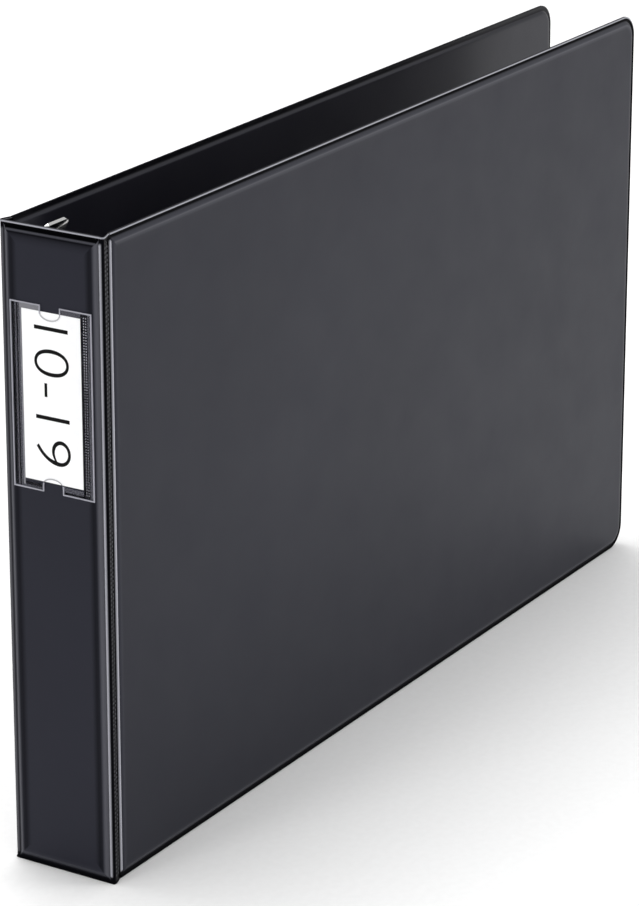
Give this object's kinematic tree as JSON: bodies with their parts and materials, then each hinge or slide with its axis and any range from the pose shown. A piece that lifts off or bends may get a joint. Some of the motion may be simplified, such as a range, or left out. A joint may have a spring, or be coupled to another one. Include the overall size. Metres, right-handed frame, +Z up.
{
  "type": "ring binder",
  "caption": "Landscape ledger-size vinyl ring binder with a labelled spine, two hinged covers and a lever-opened D-ring mechanism.",
  "frame": {"origin": "middle of the base, under the centre of the binder's box", "axes": "+Z up along the spine, +X from the spine to the fore edge, -Y out of the front cover"},
  "size_m": [0.4912, 0.0541, 0.297],
  "materials": {
    "vinyl_skin": "satin",
    "vinyl_liner": "satin",
    "vinyl_weld": "satin",
    "chipboard": "matte",
    "clear_film": "gloss",
    "white_card": "matte",
    "nickel_steel": "gloss",
    "bright_steel": "satin",
    "ring_wire": "polished",
    "rivet_metal": "gloss"
  },
  "bodies": {
    "spine": {"spine_skin": "vinyl_skin", "spine_board": "chipboard", "spine_liner": "vinyl_liner", "label_holder": "clear_film", "label_card": "white_card"},
    "front_cover": {"front_cover_skin": "vinyl_skin", "front_cover_board": "chipboard", "front_cover_liner": "vinyl_liner", "front_hinge_strip": "vinyl_weld"},
    "back_cover": {"back_cover_skin": "vinyl_skin", "back_cover_board": "chipboard", "back_cover_liner": "vinyl_liner", "back_hinge_strip": "vinyl_weld", "ring_housing": "nickel_steel", "bottom_rivet": "rivet_metal", "top_rivet": "rivet_metal", "bottom_lever_pin": "bright_steel", "top_lever_pin": "bright_steel"},
    "spine_side_leaf": {"spine_side_leaf": "bright_steel", "bottom_ring_curved_half": "ring_wire", "middle_ring_curved_half": "ring_wire", "top_ring_curved_half": "ring_wire"},
    "fore_side_leaf": {"fore_side_leaf": "bright_steel", "bottom_ring_straight_half": "ring_wire", "middle_ring_straight_half": "ring_wire", "top_ring_straight_half": "ring_wire"},
    "bottom_lever": {"bottom_lever": "nickel_steel"},
    "top_lever": {"top_lever": "nickel_steel"}
  },
  "joints": [
    {"name": "front_cover_hinge", "type": "hinge", "parent": "spine", "child": "front_cover", "pos_m": [-0.24338, -0.02672, 0], "axis": [0, 0, -1], "range_deg": [0, 175]},
    {"name": "back_cover_hinge", "type": "hinge", "parent": "spine", "child": "back_cover", "pos_m": [-0.24338, 0.02548, 0], "axis": [0, 0, 1], "range_deg": [0, 175]},
    {"name": "curved_rings_turn", "type": "hinge", "parent": "back_cover", "child": "spine_side_leaf", "pos_m": [-0.22648, 0.02092, 0], "axis": [0, 0, -1], "range_deg": [0, 15]},
    {"name": "straight_rings_turn", "type": "hinge", "parent": "back_cover", "child": "fore_side_leaf", "pos_m": [-0.21327, 0.02092, 0], "axis": [0, 0, 1], "range_deg": [0, 15]},
    {"name": "bottom_lever_turn", "type": "hinge", "parent": "back_cover", "child": "bottom_lever", "pos_m": [-0.21987, 0.01932, 0.0165], "axis": [1, 0, 0], "range_deg": [0, 26]},
    {"name": "top_lever_turn", "type": "hinge", "parent": "back_cover", "child": "top_lever", "pos_m": [-0.21987, 0.01932, 0.2805], "axis": [-1, 0, 0], "range_deg": [0, 26]}
  ],
  "couplings": [
    {"joint": "straight_rings_turn", "follows": "curved_rings_turn", "ratio": 1},
    {"joint": "bottom_lever_turn", "follows": "curved_rings_turn", "ratio": 1.7333},
    {"joint": "top_lever_turn", "follows": "curved_rings_turn", "ratio": 1.7333}
  ]
}
